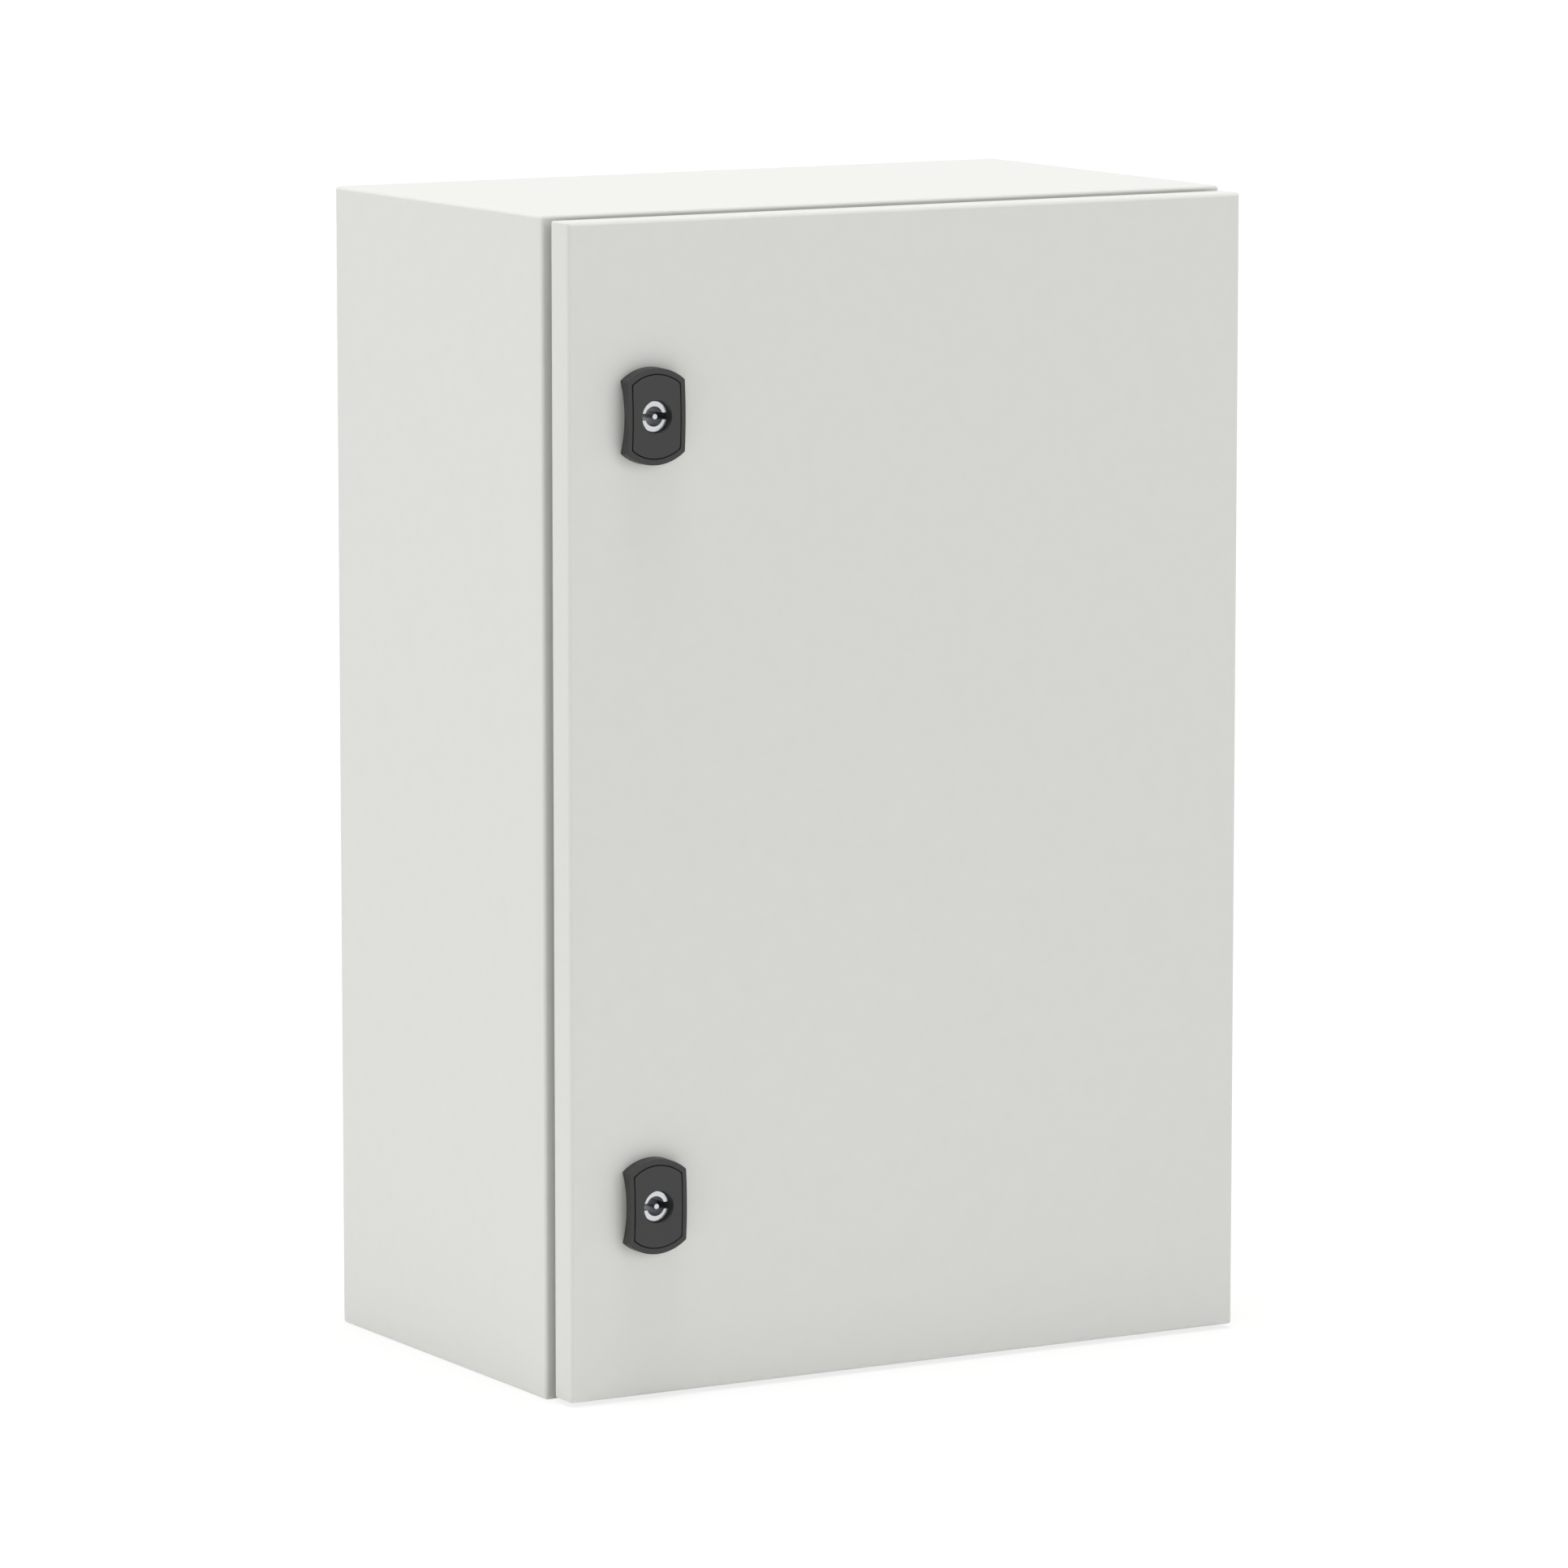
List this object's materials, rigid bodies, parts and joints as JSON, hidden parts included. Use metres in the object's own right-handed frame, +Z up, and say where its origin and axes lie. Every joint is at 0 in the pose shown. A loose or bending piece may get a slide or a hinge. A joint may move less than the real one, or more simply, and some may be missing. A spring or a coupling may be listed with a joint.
{
  "type": "switchboard cabinet",
  "caption": "Wall-mounted sheet-steel switchboard cabinet with a concealed-hinge door, quarter-turn cam locks, sealing gasket, mounting plate and gland plate.",
  "frame": {"origin": "under the middle of the whole cabinet, lock plates included, on the plane it stands on", "axes": "+X to the hinge side seen from the front, +Y back to the wall, +Z up"},
  "size_m": [0.4, 0.2548, 0.6],
  "materials": {
    "body_paint": "fine textured light grey powder coat on steel",
    "door_paint": "fine textured light grey powder coat on steel",
    "galvanised_sheet": "galvanised, dull spangle",
    "zinc_plated_steel": "bright zinc plate",
    "hinge_zinc": "die-cast zinc, satin",
    "key_insert": "die-cast zinc, nickel plated and turned",
    "lock_plastic": "moulded dark grey polyamide, fine spark-eroded texture",
    "seal_rubber": "matte black rubber",
    "gasket_foam": "foamed polyurethane bead, matte"
  },
  "bodies": {
    "cabinet": {"body_wrap": "body_paint", "rear_panel": "body_paint", "mounting_plate": "galvanised_sheet", "plate_studs": "zinc_plated_steel", "plate_spacers": "zinc_plated_steel", "plate_washers": "zinc_plated_steel", "plate_nuts": "zinc_plated_steel", "gland_plate": "galvanised_sheet", "gland_gasket": "seal_rubber", "gland_studs": "zinc_plated_steel", "gland_washers": "zinc_plated_steel", "gland_nuts": "zinc_plated_steel", "body_earth_stud": "zinc_plated_steel", "body_earth_washers": "zinc_plated_steel", "body_earth_nuts": "zinc_plated_steel", "hinge_bracket_upper": "hinge_zinc", "hinge_bracket_lower": "hinge_zinc", "hinge_pin_upper": "zinc_plated_steel", "hinge_pin_lower": "zinc_plated_steel", "bracket_screws": "zinc_plated_steel"},
    "door": {"door_panel": "door_paint", "door_gasket": "gasket_foam", "door_rail_left": "galvanised_sheet", "door_rail_right": "galvanised_sheet", "rail_studs": "zinc_plated_steel", "rail_nuts": "zinc_plated_steel", "door_earth_stud": "zinc_plated_steel", "door_earth_washer": "zinc_plated_steel", "door_earth_nut": "zinc_plated_steel", "hinge_leaf_upper": "hinge_zinc", "hinge_leaf_lower": "hinge_zinc", "leaf_studs": "zinc_plated_steel", "leaf_nuts": "zinc_plated_steel", "escutcheon_upper": "lock_plastic", "escutcheon_lower": "lock_plastic", "lock_cover_upper": "lock_plastic", "lock_cover_lower": "lock_plastic", "lock_housing_upper": "lock_plastic", "lock_housing_lower": "lock_plastic", "lock_seal_upper": "seal_rubber", "lock_seal_lower": "seal_rubber", "lock_nut_upper": "zinc_plated_steel", "lock_nut_lower": "zinc_plated_steel"},
    "lock_upper": {"lock_rotor_upper": "key_insert", "cam_upper": "zinc_plated_steel", "cam_washer_upper": "zinc_plated_steel", "cam_screw_upper": "zinc_plated_steel"},
    "lock_lower": {"lock_rotor_lower": "key_insert", "cam_lower": "zinc_plated_steel", "cam_washer_lower": "zinc_plated_steel", "cam_screw_lower": "zinc_plated_steel"}
  },
  "joints": [
    {"name": "door_hinge", "type": "hinge", "parent": "cabinet", "child": "door", "pos_m": [0.1908, -0.10861, 0.3], "axis": [0, 0, 1], "range_deg": [0, 120]},
    {"name": "lock_upper_turn", "type": "hinge", "parent": "door", "child": "lock_upper", "pos_m": [-0.152, -0.1056, 0.5], "axis": [0, 1, 0], "range_deg": [0, 90]},
    {"name": "lock_lower_turn", "type": "hinge", "parent": "door", "child": "lock_lower", "pos_m": [-0.152, -0.1056, 0.1], "axis": [0, 1, 0], "range_deg": [0, 90]}
  ]
}
